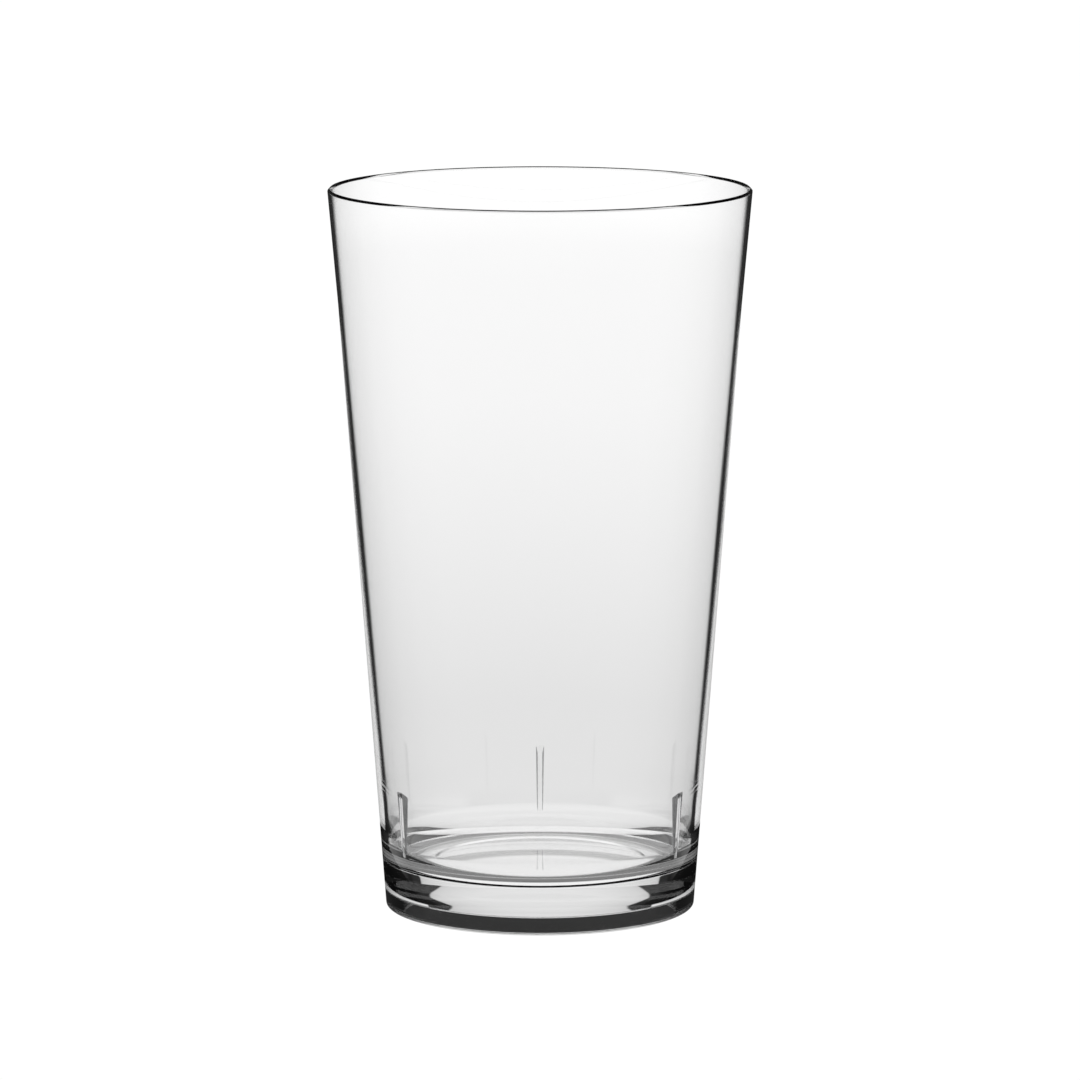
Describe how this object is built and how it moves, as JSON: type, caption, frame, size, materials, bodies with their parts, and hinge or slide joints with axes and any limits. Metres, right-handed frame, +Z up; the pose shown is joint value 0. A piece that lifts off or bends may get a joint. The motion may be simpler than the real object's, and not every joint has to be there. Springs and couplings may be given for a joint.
{
  "type": "pint tumbler",
  "caption": "Clear straight-tapered drinking tumbler with a rounded lip, a thick hollowed base and small upright stacking ribs inside the wall.",
  "frame": {"origin": "centre of the foot, on the surface that the tumbler stands on", "axes": "+Z up along the tumbler's axis towards the mouth; +Y towards the back, where the first stacking rib is; +X to the right"},
  "size_m": [0.088, 0.088, 0.151],
  "materials": {
    "clear_polycarbonate": "water-clear moulded polycarbonate, high gloss inside and out"
  },
  "bodies": {
    "root": {"lip": "clear_polycarbonate", "side_wall": "clear_polycarbonate", "heel": "clear_polycarbonate", "floor": "clear_polycarbonate", "foot_ring": "clear_polycarbonate", "stack_rib_1": "clear_polycarbonate", "stack_rib_2": "clear_polycarbonate", "stack_rib_3": "clear_polycarbonate"}
  },
  "joints": []
}
